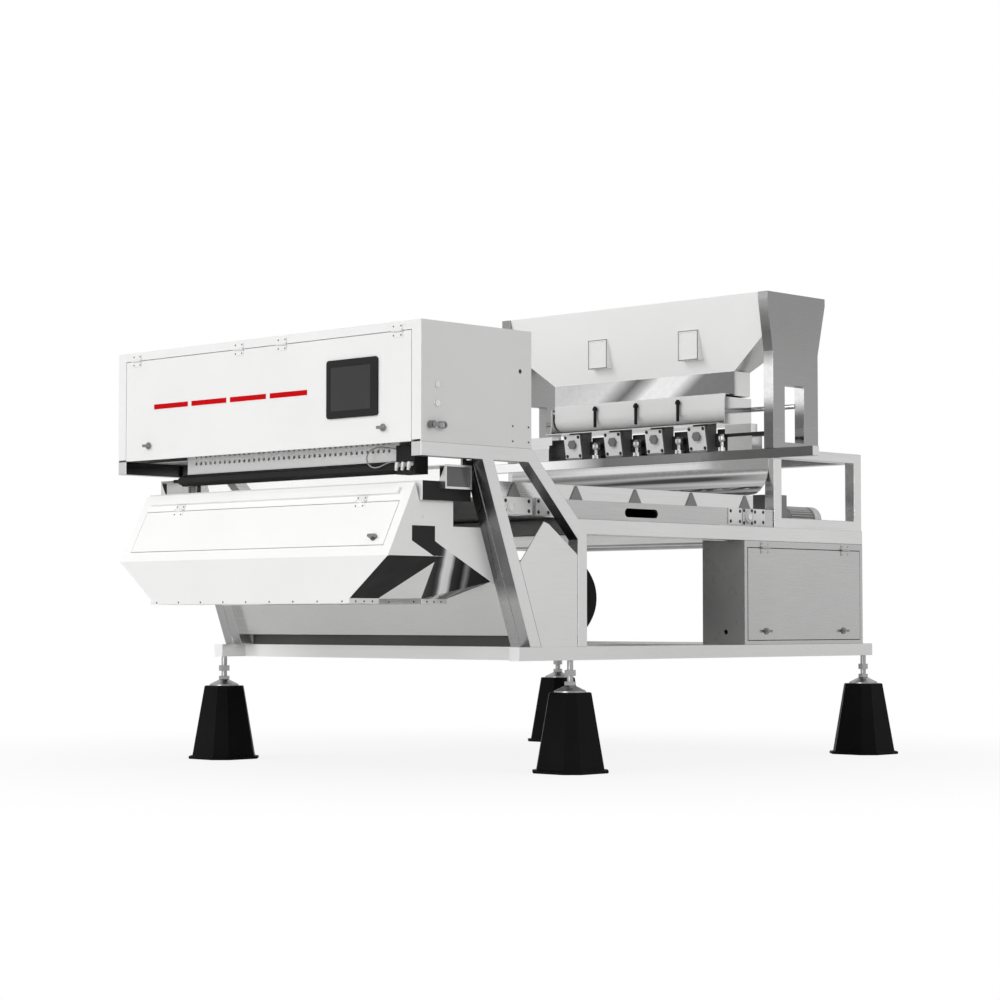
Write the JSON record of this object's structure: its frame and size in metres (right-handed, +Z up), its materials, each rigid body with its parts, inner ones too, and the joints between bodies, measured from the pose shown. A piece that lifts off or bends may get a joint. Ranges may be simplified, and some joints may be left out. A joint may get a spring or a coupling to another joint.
{
  "type": "optical colour sorter",
  "caption": "Belt-type optical colour sorter: hopper with vibrating feeder, wide belt conveyor, camera head with touch screen, air ejector and a hood with accept and reject outlets.",
  "frame": {"origin": "middle of the bounding box on the floor", "axes": "+Z up, -Y is the front with the screen and the outlets, +X to the right seen from the front"},
  "size_m": [2.234, 3.291, 2.239],
  "materials": {
    "white_paint": "satin white powder coat",
    "satin_steel": "satin stainless sheet and tube",
    "polished_steel": "bright polished stainless sheet",
    "black_paint": "black satin paint",
    "black_plastic": "black moulded plastic",
    "grey_paint": "grey machine paint",
    "red_plastic": "red gloss bar",
    "screen": "black bezel round a dark glass display",
    "belt": "pale food-grade conveyor belt",
    "clear_glass": "clear cover glass",
    "cast_grey": "painted cast bearing housing",
    "bright_metal": "bright plated hardware"
  },
  "bodies": {
    "frame": {"base_frame": "satin_steel", "left_side_frame": "satin_steel", "right_side_frame": "satin_steel", "cross_beams": "satin_steel", "belt_pan": "satin_steel", "rear_frame": "satin_steel", "feeder_beam": "satin_steel", "side_panels": "satin_steel", "back_plate": "satin_steel", "drip_pan": "black_paint", "pedestals": "black_plastic", "lock_nuts": "bright_metal", "air_tank": "black_paint", "head_shell": "white_paint", "hinge_leaves": "bright_metal", "perforated_plate": "white_paint", "ejector_bar": "black_paint", "valve_block": "black_paint", "lamp_box": "black_paint", "lamp_glass": "clear_glass", "cameras": "black_paint", "led_bars": "white_paint", "front_chute": "white_paint", "rear_chute": "polished_steel", "chute_divider": "black_paint", "conveyor_frame": "satin_steel", "belt_skirts": "satin_steel", "skirt_brackets": "grey_paint", "conveyor_belt": "belt", "drum_bearings": "cast_grey", "drive_motor": "grey_paint", "feed_chute": "polished_steel", "vibrators": "grey_paint", "hopper_body": "polished_steel", "hopper_ends": "satin_steel", "sight_windows": "satin_steel", "cabinet_shell": "satin_steel", "cabinet_panel": "grey_paint"},
    "head_door": {"head_door": "white_paint", "touch_screen": "screen", "stripe_bars": "red_plastic"},
    "head_latch_left": {"head_latch_left": "bright_metal"},
    "head_latch_right": {"head_latch_right": "bright_metal"},
    "start_button": {"start_button": "bright_metal"},
    "stop_button": {"stop_button": "bright_metal"},
    "side_lever": {"side_lever": "bright_metal"},
    "hood_door": {"hood_door": "white_paint"},
    "hood_latch": {"hood_latch": "bright_metal"},
    "front_drum": {"front_drum": "satin_steel"},
    "tail_drum": {"tail_drum": "satin_steel"},
    "feed_tray": {"feed_tray": "polished_steel"},
    "feed_gate": {"feed_gate": "white_paint", "gate_rods": "black_plastic"},
    "cabinet_door": {"cabinet_door": "satin_steel"},
    "cabinet_latch_front": {"cabinet_latch_front": "bright_metal"},
    "cabinet_latch_rear": {"cabinet_latch_rear": "bright_metal"},
    "foot_front_left": {"foot_front_left": "bright_metal"},
    "foot_front_right": {"foot_front_right": "bright_metal"},
    "foot_rear_left": {"foot_rear_left": "bright_metal"},
    "foot_rear_right": {"foot_rear_right": "bright_metal"}
  },
  "joints": [
    {"name": "head_door_hinge", "type": "hinge", "parent": "frame", "child": "head_door", "pos_m": [0, -1.5755, 1.842], "axis": [-1, 0, 0], "range_deg": [0, 100]},
    {"name": "head_latch_left_turn", "type": "hinge", "parent": "head_door", "child": "head_latch_left", "pos_m": [-0.776, -1.5695, 1.448], "axis": [0, 1, 0], "range_deg": [0, 90]},
    {"name": "head_latch_right_turn", "type": "hinge", "parent": "head_door", "child": "head_latch_right", "pos_m": [0.776, -1.5695, 1.448], "axis": [0, 1, 0], "range_deg": [0, 90]},
    {"name": "start_button_press", "type": "slide", "parent": "frame", "child": "start_button", "axis": [-1, 0, 0], "range_m": [0, 0.004], "stiffness_N_per_m": 800},
    {"name": "stop_button_press", "type": "slide", "parent": "frame", "child": "stop_button", "axis": [-1, 0, 0], "range_m": [0, 0.004], "stiffness_N_per_m": 800},
    {"name": "side_lever_turn", "type": "hinge", "parent": "frame", "child": "side_lever", "pos_m": [1, -1.5195, 1.452], "axis": [1, 0, 0], "range_deg": [0, 90]},
    {"name": "hood_door_hinge", "type": "hinge", "parent": "frame", "child": "hood_door", "pos_m": [0, -1.53462, 1.15067], "axis": [-1, 0, 0], "range_deg": [0, 80]},
    {"name": "hood_latch_turn", "type": "hinge", "parent": "hood_door", "child": "hood_latch", "pos_m": [0.761, -1.60619, 0.99514], "axis": [0, -0.8932, 0.4496], "range_deg": [0, 90]},
    {"name": "tail_drum_turn", "type": "hinge", "parent": "frame", "child": "tail_drum", "pos_m": [0, 0.7025, 1.145], "axis": [1, 0, 0], "continuous": true},
    {"name": "front_drum_turn", "type": "hinge", "parent": "frame", "child": "front_drum", "pos_m": [0, -0.9195, 1.145], "axis": [1, 0, 0], "continuous": true},
    {"name": "feed_tray_shake", "type": "slide", "parent": "frame", "child": "feed_tray", "axis": [0, 1, 0], "range_m": [-0.0015, 0.0015], "stiffness_N_per_m": 20000},
    {"name": "feed_gate_lift", "type": "slide", "parent": "frame", "child": "feed_gate", "axis": [0, 0, 1], "range_m": [0, 0.04]},
    {"name": "cabinet_door_hinge", "type": "hinge", "parent": "frame", "child": "cabinet_door", "pos_m": [1.006, 0.9955, 0.996], "axis": [0, -1, 0], "range_deg": [0, 100]},
    {"name": "cabinet_latch_front_turn", "type": "hinge", "parent": "cabinet_door", "child": "cabinet_latch_front", "pos_m": [1, 0.6925, 0.605], "axis": [-1, 0, 0], "range_deg": [0, 90]},
    {"name": "cabinet_latch_rear_turn", "type": "hinge", "parent": "cabinet_door", "child": "cabinet_latch_rear", "pos_m": [1, 1.3005, 0.605], "axis": [-1, 0, 0], "range_deg": [0, 90]},
    {"name": "foot_front_left_turn", "type": "hinge", "parent": "frame", "child": "foot_front_left", "pos_m": [-0.971, -0.9565, 0.4], "axis": [0, 0, 1], "range_deg": [-180, 180]},
    {"name": "foot_front_right_turn", "type": "hinge", "parent": "frame", "child": "foot_front_right", "pos_m": [0.971, -0.6435, 0.4], "axis": [0, 0, 1], "range_deg": [-180, 180]},
    {"name": "foot_rear_left_turn", "type": "hinge", "parent": "frame", "child": "foot_rear_left", "pos_m": [-0.971, 1.3895, 0.4], "axis": [0, 0, 1], "range_deg": [-180, 180]},
    {"name": "foot_rear_right_turn", "type": "hinge", "parent": "frame", "child": "foot_rear_right", "pos_m": [0.971, 1.5015, 0.4], "axis": [0, 0, 1], "range_deg": [-180, 180]}
  ],
  "couplings": [
    {"joint": "front_drum_turn", "follows": "tail_drum_turn", "ratio": 1}
  ]
}
